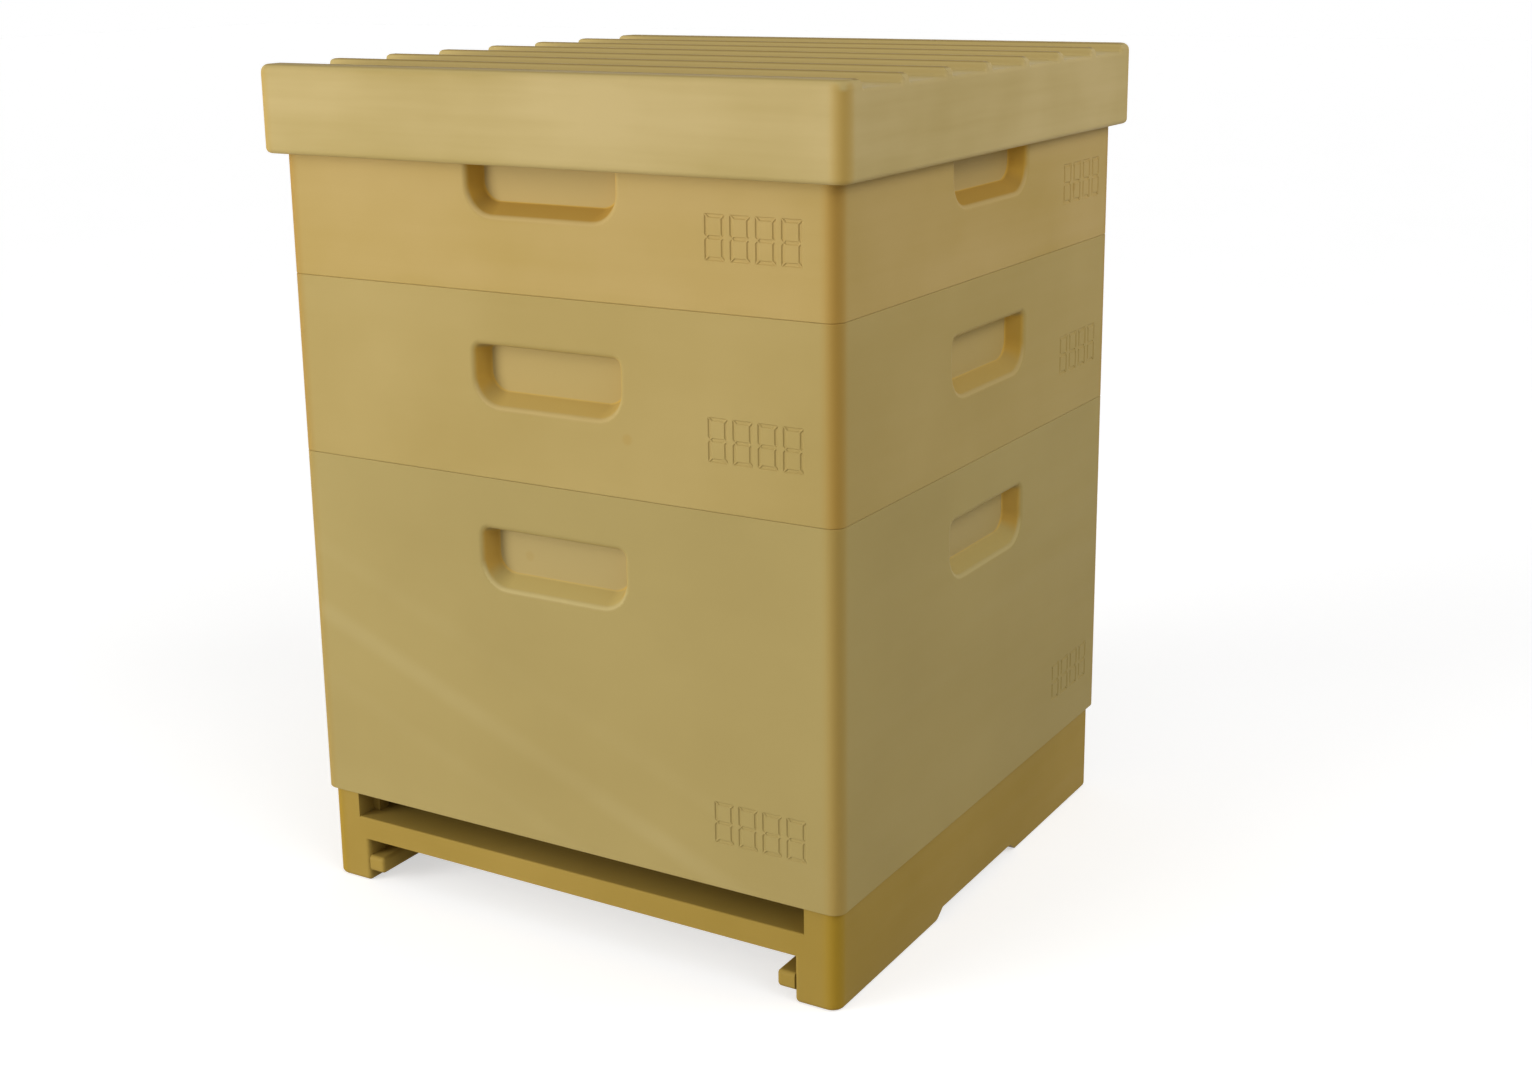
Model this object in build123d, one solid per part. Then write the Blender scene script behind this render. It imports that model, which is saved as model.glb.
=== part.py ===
from build123d import *

import math
import os

# A square beehive of moulded rigid foam: floor, brood box, two shallow supers and a ribbed lid.
# Wooden frames with wax sheets hang in the boxes, running from front to back.
# Millimetres. +Z is up, the entrance faces -Y, and the origin is on the ground under the hive's centre.

# Frames, which set the size of every box
frame_length = 448.0
frame_count = 12
frame_pitch = 38.0
brood_frame_height = 286.0
super_frame_height = 141.0
top_bar_width = 28.0
top_bar_thickness = 20.0
lug_width = 22.0
lug_thickness = 10.0
lug_length = 17.0
side_bar_thickness = 10.0
side_bar_width = 25.0
spacer_gap = 1.5
spacer_height = 85.0
spacer_slope = 12.0
super_spacer_rise = 26.0
fork_drop = 4.0
bottom_bar_thickness = 10.0
wood_chamfer = 1.0
wax_thickness = 2.4
wax_gap = 0.4

# Room that the bees need round the frames
end_space = 8.0
side_space = 4.0
top_space = 8.0
brood_bottom_space = 14.0
super_bottom_space = 3.0

# Box walls and the tongue that locks each box to the one above
wall = 28.0
box_corner = 11.0
inner_corner = 4.0
edge_round = 1.0
tongue_thickness = 7.0
tongue_height = 6.0
tongue_clearance = 0.5
tongue_corner = 5.0

# Angle rails that the frames hang on
rail_thickness = 1.5
rail_end_gap = 0.5
lug_end_gap = 1.5

# Hand holds
hold_width = 141.0
hold_height = 50.0
hold_depth = 16.5
hold_drop = 43.0
hold_side_draft = 19.0
hold_top_draft = 5.0
hold_bottom_draft = 32.0
hold_top_corner = 6.0
hold_bottom_corner = 24.0
hold_floor_corner = 16.0
hold_floor_round = 2.5
hold_rim_round = 5.5

# Blank panel of seven-segment digits
digit_count = 4
digit_width = 17.6
digit_height = 35.0
digit_pitch = 21.6
digit_rise = 38.5
digit_inset = 29.0
segment_width = 3.4
segment_gap = 0.6
segment_depth = 0.8
segment_draft = 45.0

# Floor
floor_inset = 4.0
leg_width = 39.0
tray_rail_rise = 10.0
tray_rail_width = 16.0
tray_rail_thickness = 14.5
tray_slot = 16.0
deck_thickness = 20.0
entrance_height = 23.5
floor_rim = 30.0
stop_setback = 19.0
stop_width = 7.0
stop_depth = 12.0
notch_width = 170.0
notch_height = 10.0
notch_ramp = 15.0
foot_round = 4.0
tray_rail_round = 3.5
entrance_round = 1.5

# Mesh in the floor, its strips and screws
deck_border = 62.0
mesh_ledge = 14.0
mesh_fit_gap = 0.5
mesh_thickness = 1.2
mesh_gaps = 17
mesh_wire = 1.4
strip_thickness = 3.0
screw_shank = 1.5
screw_length = 14.0
screw_head = 3.2
screw_head_height = 2.0
screw_clearance = 0.1
screws_per_strip = 3

# Queen excluder
excluder_gap = 2.0
excluder_thickness = 4.5
excluder_rim_width = 15.0
excluder_ledge = 4.0
grid_thickness = 2.0
grid_gap = 0.3
grid_slot = 4.2
grid_columns = 46
grid_rows = 6
grid_bar = 4.0

# Lid
lid_wall = 12.0
lid_clearance = 1.0
lid_overlap = 52.0
lid_thickness = 13.0
lid_corner = 12.5
lid_top_round = 6.5
lid_skirt_round = 4.5
lip_width = 25.0
rib_width = 8.0
rib_height = 7.0
rib_draft = 12.0
rib_round = 3.5
rib_crown = 0.7
valley_count = 7
valley_round = 3.0
valley_mouth_round = 3.0
mouth_block = 20.0

# Sizes that follow from those above
inner_width = frame_count * frame_pitch + 2 * side_space
inner_length = frame_length + 2 * end_space
box_width = inner_width + 2 * wall
box_length = inner_length + 2 * wall
brood_height = top_space + brood_frame_height + brood_bottom_space
super_height = top_space + super_frame_height + super_bottom_space
spacer_width = frame_pitch - spacer_gap
super_spacer_height = super_frame_height - top_bar_thickness - bottom_bar_thickness - super_spacer_rise
rebate_depth = top_space + lug_thickness + rail_thickness
rail_leg = lug_length - end_space + lug_end_gap + rail_thickness
tongue_inset = wall - rail_leg - tongue_thickness

deck_bottom = tray_rail_rise + tray_rail_thickness + tray_slot
deck_top = deck_bottom + deck_thickness
floor_top = deck_top + entrance_height
floor_width = box_width - 2 * floor_inset
floor_length = box_length - 2 * floor_inset
brood_top = floor_top + brood_height
super_1_top = brood_top + super_height
super_2_top = super_1_top + super_height

lid_width = box_width + 2 * (lid_clearance + lid_wall)
lid_length = box_length + 2 * (lid_clearance + lid_wall)
lid_bottom = super_2_top - lid_overlap
valley_level = super_2_top + lid_thickness
lid_top = valley_level + rib_height
valley_pitch = (lid_length - 2 * lip_width + rib_width) / valley_count

window_width = floor_width - 2 * deck_border
window_length = floor_length - 2 * deck_border
mesh_width = window_width + 2 * mesh_ledge
mesh_length = window_length + 2 * mesh_ledge
strip_bottom = deck_top - strip_thickness
mesh_bottom = strip_bottom - mesh_thickness

# Past every face that a cut has to clear
beyond = 5.0


# Building blocks


def block(x, y, z):
    """A straight block between a low and a high value along each axis."""
    middle = Pos((x[0] + x[1]) / 2, (y[0] + y[1]) / 2, (z[0] + z[1]) / 2)
    return middle * Box(x[1] - x[0], y[1] - y[0], z[1] - z[0])


def both(half):
    """The span from minus a half width to plus it."""
    return (-half, half)


def slab(width, length, bottom, top, corner):
    """An upright block on the hive's axis with rounded vertical corners."""
    return Pos(0, 0, bottom) * extrude(RectangleRounded(width, length, corner), amount=top - bottom)


def ring(width, length, thickness, corner, bottom, top):
    """An upright wall that runs round the hive's axis."""
    inner_round = max(corner - thickness, corner / 2)
    core = slab(width - 2 * thickness, length - 2 * thickness, bottom - beyond, top + beyond, inner_round)
    return slab(width, length, bottom, top, corner) - core


def edges_between(shape, x, y, z):
    """Edges that lie wholly between a low and a high value along each axis."""
    near = 0.01
    found = []
    for edge in shape.edges():
        box = edge.bounding_box()
        spans = ((box.min.X, box.max.X, x), (box.min.Y, box.max.Y, y), (box.min.Z, box.max.Z, z))
        if all(span[0] - near <= low and high <= span[1] + near for low, high, span in spans):
            found.append(edge)
    return found


def upright_faces(width, length):
    """A plane on each outer face of a box, with its x to the right and its y up, seen from outside."""
    return [
        (Plane(origin=(0, -length / 2, 0), x_dir=(1, 0, 0), z_dir=(0, -1, 0)), width / 2),
        (Plane(origin=(width / 2, 0, 0), x_dir=(0, 1, 0), z_dir=(1, 0, 0)), length / 2),
        (Plane(origin=(0, length / 2, 0), x_dir=(-1, 0, 0), z_dir=(0, 1, 0)), width / 2),
        (Plane(origin=(-width / 2, 0, 0), x_dir=(0, -1, 0), z_dir=(-1, 0, 0)), length / 2),
    ]


# Boxes


def tongue(top):
    """The raised tongue on a rim, which the box or lid above drops over."""
    lock = ring(
        box_width - 2 * tongue_inset,
        box_length - 2 * tongue_inset,
        tongue_thickness,
        tongue_corner,
        top,
        top + tongue_height,
    )
    return chamfer(lock.edges().group_by(Axis.Z)[-1], edge_round)


def tongue_groove(bottom):
    """The room for a tongue in the underside of a box or the lid."""
    return ring(
        box_width - 2 * tongue_inset + 2 * tongue_clearance,
        box_length - 2 * tongue_inset + 2 * tongue_clearance,
        tongue_thickness + 2 * tongue_clearance,
        tongue_corner + tongue_clearance,
        bottom - beyond,
        bottom + tongue_height + tongue_clearance,
    )


def hold_outline(width, height, lower_corner):
    """The outline of a hand hold, with tight upper corners and wide lower ones."""
    outline = Rectangle(width, height)
    outline = fillet(outline.vertices().group_by(Axis.Y)[-1], hold_top_corner)
    return fillet(outline.vertices().group_by(Axis.Y)[0], lower_corner)


def hand_hold():
    """The room of a hand hold: steep above, drafted at its ends and sloped below."""
    aside, above, below = [
        hold_depth * math.tan(math.radians(draft))
        for draft in (hold_side_draft, hold_top_draft, hold_bottom_draft)
    ]
    mouth = hold_outline(hold_width, hold_height, hold_bottom_corner)
    back = hold_outline(hold_width - 2 * aside, hold_height - above - below, hold_floor_corner)
    room = loft([Pos(0, (below - above) / 2, -hold_depth) * back, mouth], ruled=True)
    return fillet(room.edges().group_by(Axis.Z)[0], hold_floor_round)


def digit():
    """The outlines of one digit's seven segments, mitred at its corners and pointed at its waist."""
    right = digit_width / 2
    top = digit_height / 2
    band = segment_width
    tip = segment_width / 2
    part = segment_gap / math.sqrt(2)
    crown = [
        (part - right, top),
        (right - part, top),
        (right - part - band, top - band),
        (part + band - right, top - band),
    ]
    flank = [
        (right, top - part),
        (right, tip + part),
        (right - tip, part),
        (right - band, tip + part),
        (right - band, top - band - part),
    ]
    waist = [(tip + part - right, 0), (band + part - right, tip), (right - band - part, tip)]
    outlines = [waist + [(-x, -y) for x, y in waist]]
    for up in (1, -1):
        outlines.append([(x, up * y) for x, y in crown])
        outlines += [[(side * x, up * y) for x, y in flank] for side in (1, -1)]
    return [make_face(Polyline(*outline, close=True)) for outline in outlines]


def digit_panel():
    """The shallow sloped grooves of a row of digits, with the row's lower right corner at the origin."""
    row = Sketch()
    for place in range(digit_count):
        middle = (place + 1 - digit_count) * digit_pitch - digit_width / 2
        row += [Pos(middle, digit_height / 2) * face for face in digit()]
    return extrude(row, amount=-segment_depth, taper=segment_draft)


def moulded_box(bottom, height):
    """A box with its tongue, groove, frame rebates, hand holds and digit panels."""
    top = bottom + height
    body = slab(box_width, box_length, bottom, top, box_corner)
    rims = body.edges().group_by(Axis.Z)
    body = fillet(rims[0] + rims[-1], edge_round)
    body += tongue(top)
    body -= tongue_groove(bottom)
    body -= slab(inner_width, inner_length, bottom - beyond, top + beyond, inner_corner)
    body -= block(
        both(inner_width / 2),
        both(inner_length / 2 + rail_leg),
        (top - rebate_depth, top + tongue_height + beyond),
    )
    hold_top = top - hold_drop
    hold = Pos(0, hold_top - hold_height / 2) * hand_hold()
    faces = upright_faces(box_width, box_length)
    body -= [plane * hold for plane, half in faces]
    rim_height = (hold_top - hold_height, hold_top)
    half_hold = both(hold_width / 2)
    for sign in (-1, 1):
        front_face = (sign * box_length / 2, sign * box_length / 2)
        side_face = (sign * box_width / 2, sign * box_width / 2)
        rim = edges_between(body, half_hold, front_face, rim_height)
        rim += edges_between(body, side_face, half_hold, rim_height)
        body = fillet(rim, hold_rim_round)
    panel = digit_panel()
    body -= [plane * Pos(half - digit_inset, bottom + digit_rise) * panel for plane, half in faces]
    return body


def rest_rail(sign, top):
    """A steel angle in a frame rebate. The frame lugs lie on its flat leg."""
    inside = inner_length / 2
    outside = inside + rail_leg
    seat = top - rebate_depth
    across = both(inner_width / 2 - rail_end_gap)
    flat_leg = block(across, (inside, outside), (seat, seat + rail_thickness))
    upright_leg = block(across, (outside - rail_thickness, outside), (seat, seat + rail_leg))
    rail = flat_leg + upright_leg
    return rail if sign > 0 else mirror(rail, about=Plane.XZ)


# Frames


def top_bar(top):
    """The bar that carries a frame, cut back to a lug at each end."""
    inside = frame_length / 2 - side_bar_thickness
    bar = block(both(top_bar_width / 2), both(inside), (top - top_bar_thickness, top))
    bar += block(both(lug_width / 2), both(frame_length / 2), (top - top_bar_thickness, top))
    bar += block(both(lug_width / 2), both(frame_length / 2 + lug_length), (top - lug_thickness, top))
    return chamfer(edges_between(bar, both(top_bar_width), both(inside), (top, top)), wood_chamfer)


def side_bar(sign, top, height, spacer):
    """A frame's end, forked over the top bar and broad below it to space the frames."""
    foot = top - height + bottom_bar_thickness
    fork = top - top_bar_thickness
    tip = top - fork_drop
    shoulder = fork - spacer
    right = [
        (side_bar_width / 2, foot),
        (side_bar_width / 2, shoulder - spacer_slope),
        (spacer_width / 2, shoulder),
        (spacer_width / 2, tip),
        (lug_width / 2, tip),
        (lug_width / 2, fork),
    ]
    left = [(-x, z) for x, z in reversed(right)]
    outline = make_face(Polyline(*right, *left, close=True))
    bar = extrude(Plane.XZ * outline, amount=side_bar_thickness)
    inside = frame_length / 2 - side_bar_thickness
    return Pos(0, inside + side_bar_thickness, 0) * bar if sign > 0 else Pos(0, -inside, 0) * bar


def bottom_bar(top, height):
    """The bar that closes a frame below."""
    low = top - height
    return block(both(side_bar_width / 2), both(frame_length / 2), (low, low + bottom_bar_thickness))


def wax_sheet(top, height):
    """The sheet of wax foundation in a frame."""
    low = top - height + bottom_bar_thickness + wax_gap
    high = top - top_bar_thickness - wax_gap
    inside = frame_length / 2 - side_bar_thickness - wax_gap
    return block(both(wax_thickness / 2), both(inside), (low, high))


def frame_places():
    """How far along X each frame hangs."""
    return [(place - (frame_count - 1) / 2) * frame_pitch for place in range(frame_count)]


def hung_frames(name, top, height, spacer):
    """The frames of one box, each a node of its bars, and one node with their wax sheets."""
    ends = [side_bar(sign, top, height, spacer) for sign in (-1, 1)]
    bars = [top_bar(top), *ends, bottom_bar(top, height)]
    nodes = {}
    for number, x in enumerate(frame_places(), start=1):
        nodes[f"{name}_frame_{number:02d}"] = Compound([Pos(x, 0, 0) * bar for bar in bars])
    wax = wax_sheet(top, height)
    nodes[f"{name}_foundations"] = Compound([Pos(x, 0, 0) * wax for x in frame_places()])
    return nodes


# Floor


def screw_places():
    """Where the strip screws stand, by strip, along X and Y."""
    reach_x = (mesh_width - mesh_ledge) / 2
    reach_y = (mesh_length - mesh_ledge) / 2
    steps = [2 * (place + 0.5) / screws_per_strip - 1 for place in range(screws_per_strip)]
    return {
        "front": [(step * reach_x, -reach_y) for step in steps],
        "back": [(step * reach_x, reach_y) for step in steps],
        "left": [(-reach_x, step * reach_y) for step in steps],
        "right": [(reach_x, step * reach_y) for step in steps],
    }


def screw(clearance=0.0):
    """A countersunk screw under the deck's level, or the room for one."""
    shank = screw_shank + clearance
    head = screw_head + clearance
    neck = -screw_head_height - clearance
    end = -screw_length - clearance
    outline = Polyline((0, 0), (head, 0), (shank, neck), (shank, end), (0, end), close=True)
    return Pos(0, 0, deck_top) * revolve(Plane.XZ * make_face(outline), Axis.Z)


def screw_rooms():
    """The holes for all the strip screws."""
    room = screw(screw_clearance)
    return [Pos(x, y, 0) * room for places in screw_places().values() for x, y in places]


def floor_body():
    """The moulded floor: feet, tray rails, deck with its window, entrance and rim."""
    half_width = floor_width / 2
    half_length = floor_length / 2
    leg_inside = half_width - leg_width
    leg_back = half_length - leg_width
    rim_inside = half_width - floor_rim
    rim_back = half_length - floor_rim
    front = -half_length - beyond
    body = slab(floor_width, floor_length, 0, floor_top, box_corner)
    body = fillet(body.edges().group_by(Axis.Z)[0], foot_round)
    body -= block(both(leg_inside), (front, leg_back), (-beyond, deck_bottom))
    body -= block(both(rim_inside), (front, rim_back), (deck_top, floor_top + beyond))
    half_notch = notch_width / 2
    notch = Polyline(
        (-half_notch - notch_ramp, -notch_height),
        (-half_notch + notch_ramp, notch_height),
        (half_notch - notch_ramp, notch_height),
        (half_notch + notch_ramp, -notch_height),
        close=True,
    )
    body -= extrude(Plane.YZ * make_face(notch), amount=half_width + beyond, both=True)
    inner_feet = edges_between(body, both(leg_inside), both(half_length), (0, 0))
    body = fillet(inner_feet, foot_round)
    for sign in (-1, 1):
        body += tray_rail(sign, leg_inside, leg_back)
        stop = sorted((sign * rim_inside, sign * (rim_inside - stop_width)))
        stop_front = stop_setback - half_length
        body += block(stop, (stop_front, stop_front + stop_depth), (deck_top, floor_top))
    lip = edges_between(body, both(rim_inside), (-half_length, -half_length), (deck_top, deck_top))
    sill = edges_between(body, both(leg_inside), (-half_length, -half_length), (deck_bottom, deck_bottom))
    body = fillet(lip + sill, entrance_round)
    over_entrance = (floor_top - beyond, floor_top + tongue_height + beyond)
    body += tongue(floor_top) - block(both(rim_inside + beyond), (front, -rim_back), over_entrance)
    body -= block(both(window_width / 2), both(window_length / 2), (deck_bottom - beyond, floor_top))
    half_mesh_width = mesh_width / 2 + mesh_fit_gap
    half_mesh_length = mesh_length / 2 + mesh_fit_gap
    body -= block(both(half_mesh_width), both(half_mesh_length), (mesh_bottom, floor_top))
    body -= screw_rooms()
    return body


def tray_rail(sign, leg_inside, back):
    """A rail along a leg's inner side, for a tray slid in under the mesh."""
    inner = leg_inside - tray_rail_width
    level = (tray_rail_rise, tray_rail_rise + tray_rail_thickness)
    front = -floor_length / 2
    rail = block((inner, leg_inside), (front, back), level)
    nose = edges_between(rail, (inner, inner), (front, back), level)
    for height in level:
        nose += edges_between(rail, (inner, leg_inside), (front, front), (height, height))
    rail = fillet(nose, tray_rail_round)
    return rail if sign > 0 else mirror(rail, about=Plane.YZ)


def floor_mesh():
    """The mesh panel, as one sheet with square gaps inside a plain border."""
    step_x = window_width / mesh_gaps
    step_y = window_length / mesh_gaps
    gap = Rectangle(step_x - mesh_wire, step_y - mesh_wire)
    gaps = GridLocations(step_x, step_y, mesh_gaps, mesh_gaps) * gap
    sheet = Rectangle(mesh_width, mesh_length) - gaps
    panel = Pos(0, 0, mesh_bottom) * extrude(sheet, amount=mesh_thickness)
    return panel - screw_rooms()


def mesh_strips():
    """The four strips that hold the mesh down, flush with the deck."""
    level = (strip_bottom, deck_top)
    half_width = mesh_width / 2
    half_length = mesh_length / 2
    cross = block(both(half_width), (half_length - mesh_ledge, half_length), level)
    along = block((half_width - mesh_ledge, half_width), both(half_length - mesh_ledge), level)
    rooms = screw_rooms()
    return {
        "mesh_strip_front": mirror(cross, about=Plane.XZ) - rooms,
        "mesh_strip_back": cross - rooms,
        "mesh_strip_left": mirror(along, about=Plane.YZ) - rooms,
        "mesh_strip_right": along - rooms,
    }


def strip_screws():
    """Every strip screw, as separate solids of one node."""
    one = screw()
    return Compound([Pos(x, y, 0) * one for places in screw_places().values() for x, y in places])


# Queen excluder


def excluder():
    """The excluder's rim, and the slotted grid that lies in it from below, both on the brood frames."""
    low = brood_top - top_space
    width = inner_width - 2 * excluder_gap
    length = inner_length - 2 * excluder_gap
    open_width = width - 2 * excluder_rim_width
    open_length = length - 2 * excluder_rim_width
    bed_width = open_width + 2 * excluder_ledge
    bed_length = open_length + 2 * excluder_ledge
    high = low + excluder_thickness
    rim = block(both(width / 2), both(length / 2), (low, high))
    rim -= block(both(open_width / 2), both(open_length / 2), (low - beyond, high + beyond))
    rim -= block(both(bed_width / 2), both(bed_length / 2), (low - beyond, low + grid_thickness))
    step_x = open_width / grid_columns
    step_y = open_length / grid_rows
    slot = Rectangle(grid_slot, step_y - grid_bar)
    slots = GridLocations(step_x, step_y, grid_columns, grid_rows) * slot
    sheet = Rectangle(bed_width - 2 * grid_gap, bed_length - 2 * grid_gap) - slots
    grid = Pos(0, 0, low) * extrude(sheet, amount=grid_thickness)
    return {"excluder_rim": rim, "excluder_grid": grid}


# Lid


def valley():
    """The room of one valley between ribs, flared where it leaves the lid's sides."""
    run = rib_height * math.tan(math.radians(rib_draft))
    half = (valley_pitch - rib_width) / 2
    crest = half + rib_width / 2
    above = rib_height + lid_top_round + beyond
    outline = make_face(
        Polyline(
            (run - half, 0),
            (half - run, 0),
            (half, rib_height),
            (crest, rib_height + rib_crown),
            (crest, above),
            (-crest, above),
            (-crest, rib_height + rib_crown),
            (-half, rib_height),
            close=True,
        )
    )
    outline = fillet(outline.vertices().group_by(Axis.Y)[0], valley_round)
    shoulders = [corner for corner in outline.vertices() if abs(corner.Y - rib_height) < rib_crown / 2]
    outline = fillet(shoulders, rib_round)
    side = lid_width / 2
    room = extrude(Plane.YZ * outline, amount=side, both=True)
    for sign in (-1, 1):
        outside = sorted((sign * side, sign * (side + mouth_block)))
        room += block(outside, both(crest + mouth_block), (-mouth_block, above + mouth_block))
    mouths = []
    for sign in (-1, 1):
        mouths += edges_between(room, (sign * side, sign * side), both(crest), (0, rib_height + rib_crown))
    return fillet(mouths, valley_mouth_round)


def lid():
    """The ribbed lid. Its skirt hangs round the upper super, and its top lies on that box's rim."""
    body = slab(lid_width, lid_length, lid_bottom, lid_top, lid_corner)
    body = fillet(body.edges().group_by(Axis.Z)[-1], lid_top_round)
    body = fillet(body.edges().group_by(Axis.Z)[0], lid_skirt_round)
    room = valley()
    middle = (valley_count - 1) / 2
    body -= [Pos(0, (place - middle) * valley_pitch, valley_level) * room for place in range(valley_count)]
    hollow_corner = box_corner + lid_clearance
    hollow_width = box_width + 2 * lid_clearance
    hollow_length = box_length + 2 * lid_clearance
    body -= slab(hollow_width, hollow_length, lid_bottom - beyond, super_2_top, hollow_corner)
    body -= tongue_groove(super_2_top)
    return body


# The whole hive, one file for each node

nodes = {"floor_body": floor_body(), "floor_mesh": floor_mesh(), "strip_screws": strip_screws()}
nodes.update(mesh_strips())
nodes.update(excluder())
nodes["lid"] = lid()

stack = (
    ("brood", floor_top, brood_height, brood_frame_height, spacer_height),
    ("super_1", brood_top, super_height, super_frame_height, super_spacer_height),
    ("super_2", super_1_top, super_height, super_frame_height, super_spacer_height),
)
for name, bottom, height, frame_height, spacer in stack:
    top = bottom + height
    nodes[f"{name}_box"] = moulded_box(bottom, height)
    nodes[f"{name}_rest_front"] = rest_rail(-1, top)
    nodes[f"{name}_rest_back"] = rest_rail(1, top)
    nodes.update(hung_frames(name, top - top_space, frame_height, spacer))

os.makedirs("parts", exist_ok=True)
for name, shape in nodes.items():
    export_step(shape, f"parts/{name}.step")
print(len(nodes), "nodes, total height", lid_top, "mm")
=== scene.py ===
import math

import bpy
from mathutils import Matrix, Vector


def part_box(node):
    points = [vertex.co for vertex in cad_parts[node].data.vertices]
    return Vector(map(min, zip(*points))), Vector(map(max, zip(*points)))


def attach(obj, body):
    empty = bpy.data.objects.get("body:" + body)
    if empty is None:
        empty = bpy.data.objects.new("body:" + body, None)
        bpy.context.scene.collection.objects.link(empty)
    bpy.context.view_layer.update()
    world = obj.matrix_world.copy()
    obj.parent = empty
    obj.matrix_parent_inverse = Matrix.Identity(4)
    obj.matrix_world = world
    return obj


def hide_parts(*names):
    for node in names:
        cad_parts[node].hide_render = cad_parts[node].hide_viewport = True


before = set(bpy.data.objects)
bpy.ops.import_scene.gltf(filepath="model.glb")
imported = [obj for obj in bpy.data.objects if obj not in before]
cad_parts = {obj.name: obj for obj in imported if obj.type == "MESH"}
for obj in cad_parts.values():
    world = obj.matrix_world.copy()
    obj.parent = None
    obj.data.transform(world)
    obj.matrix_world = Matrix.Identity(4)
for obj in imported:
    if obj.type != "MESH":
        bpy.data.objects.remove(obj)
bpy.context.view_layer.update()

# A foam beehive. The moulded shells, rails, strips and the excluder's rim keep their shapes and get their
# finishes here. The wooden frames, wax sheets, wire mesh, excluder grid and screws are modelled in full.
# Metres. +Z is up and the entrance faces -Y.

MM = 0.001
BOXES = ("brood", "super_1", "super_2")
FRAME_COUNT = 12

# A face is taken to look along an axis where its normal lies at least this much along it.
SQUARE_ON = 0.9


# Selecting and shaping


def start_fresh():
    """Leaves edit mode with nothing selected."""
    if bpy.context.object and bpy.context.object.mode != "OBJECT":
        bpy.ops.object.mode_set(mode="OBJECT")
    bpy.ops.object.select_all(action="DESELECT")


def pick(piece):
    """Leaves edit mode with one piece selected."""
    start_fresh()
    piece.select_set(True)
    bpy.context.view_layer.objects.active = piece


def named(name):
    """Names the piece just added, and sets its place and size into its mesh."""
    piece = bpy.context.object
    piece.name = name
    piece.data.name = name
    bpy.ops.object.transform_apply(location=True, rotation=True, scale=True)
    return piece


def block(name, low, high):
    """A block between a low and a high corner."""
    start_fresh()
    low, high = Vector(low), Vector(high)
    bpy.ops.mesh.primitive_cube_add(size=1, location=(low + high) / 2, scale=high - low)
    return named(name)


def rod(name, radius, length, sides, axis, middle):
    """A round rod along X, Y or Z."""
    turns = {"X": (0, math.pi / 2, 0), "Y": (math.pi / 2, 0, 0), "Z": (0, 0, 0)}
    start_fresh()
    bpy.ops.mesh.primitive_cylinder_add(
        vertices=sides, radius=radius, depth=length, location=middle, rotation=turns[axis]
    )
    return named(name)


def edit(piece, faces=None, points=None):
    """Opens a piece in edit mode, with those faces or points selected that pass a test."""
    pick(piece)
    mesh = piece.data
    for group in (mesh.polygons, mesh.edges, mesh.vertices):
        group.foreach_set("select", [False] * len(group))
    for group, test in ((mesh.polygons, faces), (mesh.vertices, points)):
        if test:
            for part in group:
                part.select = test(part)
    bpy.context.tool_settings.mesh_select_mode = (not faces, False, bool(faces))
    bpy.ops.object.mode_set(mode="EDIT")


def cut(piece, place, normal):
    """Scores a plane right round a piece, so that the part beyond it can be shaped."""
    edit(piece)
    bpy.ops.mesh.select_all(action="SELECT")
    bpy.ops.mesh.bisect(plane_co=place, plane_no=normal)
    bpy.ops.object.mode_set(mode="OBJECT")


def finish_modifier(piece, kind, **settings):
    """Adds a modifier with its settings and applies it."""
    pick(piece)
    modifier = piece.modifiers.new(kind.title(), kind)
    for key, value in settings.items():
        setattr(modifier, key, value)
    bpy.ops.object.modifier_apply(modifier=modifier.name)


def ease_edges(piece, width, sharpness=30):
    """Rounds every edge that turns by more than this many degrees."""
    angle = math.radians(sharpness)
    finish_modifier(piece, "BEVEL", width=width, segments=2, limit_method="ANGLE", angle_limit=angle)


def repeat(piece, count, step):
    """Repeats a piece in a row, each time one step further on."""
    finish_modifier(
        piece,
        "ARRAY",
        count=count,
        use_relative_offset=False,
        use_constant_offset=True,
        constant_offset_displace=step,
    )


def take_out(piece, cutter):
    """Cuts the shape of a cutter out of a piece, and removes the cutter."""
    finish_modifier(piece, "BOOLEAN", object=cutter, operation="DIFFERENCE", solver="EXACT")
    discard(cutter)


def join(name, pieces):
    """Joins pieces into one object."""
    start_fresh()
    for piece in pieces:
        piece.select_set(True)
    bpy.context.view_layer.objects.active = pieces[0]
    bpy.ops.object.join()
    pieces[0].name = name
    pieces[0].data.name = name
    return pieces[0]


def copied(piece, name, move, turn=0.0):
    """A copy with its own mesh, turned about the hive's upright axis and then moved."""
    twin = piece.copy()
    twin.data = piece.data.copy()
    twin.name = name
    twin.data.name = name
    bpy.context.scene.collection.objects.link(twin)
    twin.data.transform(Matrix.Translation(move) @ Matrix.Rotation(turn, 4, "Z"))
    return twin


def discard(piece):
    """Removes a cutter, or a pattern piece once its copies are made."""
    bpy.data.meshes.remove(piece.data)


def smooth(piece, degrees=35):
    """Shades a piece smooth, apart from its sharp edges."""
    pick(piece)
    bpy.ops.object.shade_smooth_by_angle(angle=math.radians(degrees))


def hand_over(piece, body, node):
    """Puts a finished piece on its body in place of the node it stands for."""
    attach(piece, body)
    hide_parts(node)


# Finishes


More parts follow.
